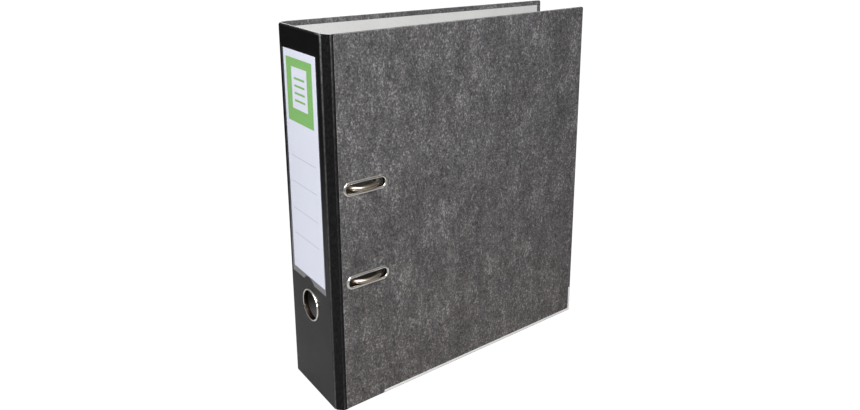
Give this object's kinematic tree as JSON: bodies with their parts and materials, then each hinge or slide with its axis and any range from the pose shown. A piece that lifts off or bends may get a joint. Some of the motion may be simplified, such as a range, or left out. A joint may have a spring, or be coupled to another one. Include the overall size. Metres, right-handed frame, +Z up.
{
  "type": "lever arch file",
  "caption": "Upright lever arch file with board covers, a spine label pocket and finger ring, slotted front cover and a lever-operated two-arch mechanism inside.",
  "frame": {"origin": "middle of the base, on the surface that the file stands on", "axes": "+Z up, the front cover faces -Y, the spine is at -X and the covers' fore edges at +X"},
  "size_m": [0.2851, 0.0889, 0.318],
  "materials": {
    "black_covering": "satin",
    "cloudy_paper": "matte",
    "grey_board": "matte",
    "lining_paper": "matte",
    "label_paper": "matte",
    "clear_film": "gloss",
    "nickel": "polished",
    "edge_rail": "satin"
  },
  "bodies": {
    "back_cover": {"back_cover_paper": "cloudy_paper", "back_cover_board": "grey_board", "back_cover_lining": "lining_paper", "back_edge_rail": "edge_rail", "base_plate": "nickel", "post_upper": "nickel", "post_lower": "nickel", "lever_bracket": "nickel", "lever_pivot_pin": "nickel", "rivet_1": "nickel", "rivet_2": "nickel", "rivet_3": "nickel", "rivet_4": "nickel"},
    "spine": {"spine_covering": "black_covering", "spine_board": "grey_board", "spine_lining": "lining_paper", "front_hinge_strip": "black_covering", "back_hinge_strip": "black_covering", "finger_ring": "nickel", "finger_ring_washer": "nickel", "spine_label": "label_paper", "label_pocket": "clear_film"},
    "front_cover": {"front_cover_paper": "cloudy_paper", "front_cover_board": "grey_board", "front_cover_lining": "lining_paper", "front_edge_rail": "edge_rail", "slot_eyelet_upper": "nickel", "slot_eyelet_lower": "nickel"},
    "arches": {"arch_wire": "nickel"},
    "lever": {"lever": "nickel", "roller_pin": "nickel"},
    "roller": {"roller": "nickel"},
    "compressor": {"compressor_bar": "nickel"}
  },
  "joints": [
    {"name": "spine_hinge", "type": "hinge", "parent": "back_cover", "child": "spine", "pos_m": [-0.1386, 0.0402, 0.159], "axis": [0, 0, -1], "range_deg": [0, 90]},
    {"name": "front_cover_hinge", "type": "hinge", "parent": "spine", "child": "front_cover", "pos_m": [-0.1386, -0.0402, 0.159], "axis": [0, 0, -1], "range_deg": [0, 135]},
    {"name": "arch_swing", "type": "hinge", "parent": "back_cover", "child": "arches", "pos_m": [-0.1245, 0.0324, 0.1535], "axis": [0, 0, -1], "range_deg": [0, 60]},
    {"name": "lever_lift", "type": "hinge", "parent": "back_cover", "child": "lever", "pos_m": [-0.107, 0.0177, 0.1535], "axis": [-1, 0, 0], "range_deg": [0, 90]},
    {"name": "roller_spin", "type": "hinge", "parent": "lever", "child": "roller", "pos_m": [-0.107, 0.02606, 0.14354], "axis": [1, 0, 0], "continuous": true},
    {"name": "compressor_slide", "type": "slide", "parent": "back_cover", "child": "compressor", "axis": [0, -1, 0], "range_m": [0, 0.038]}
  ],
  "couplings": [
    {"joint": "arch_swing", "follows": "spine_hinge", "ratio": 0.666},
    {"joint": "lever_lift", "follows": "spine_hinge", "ratio": 0.999}
  ]
}
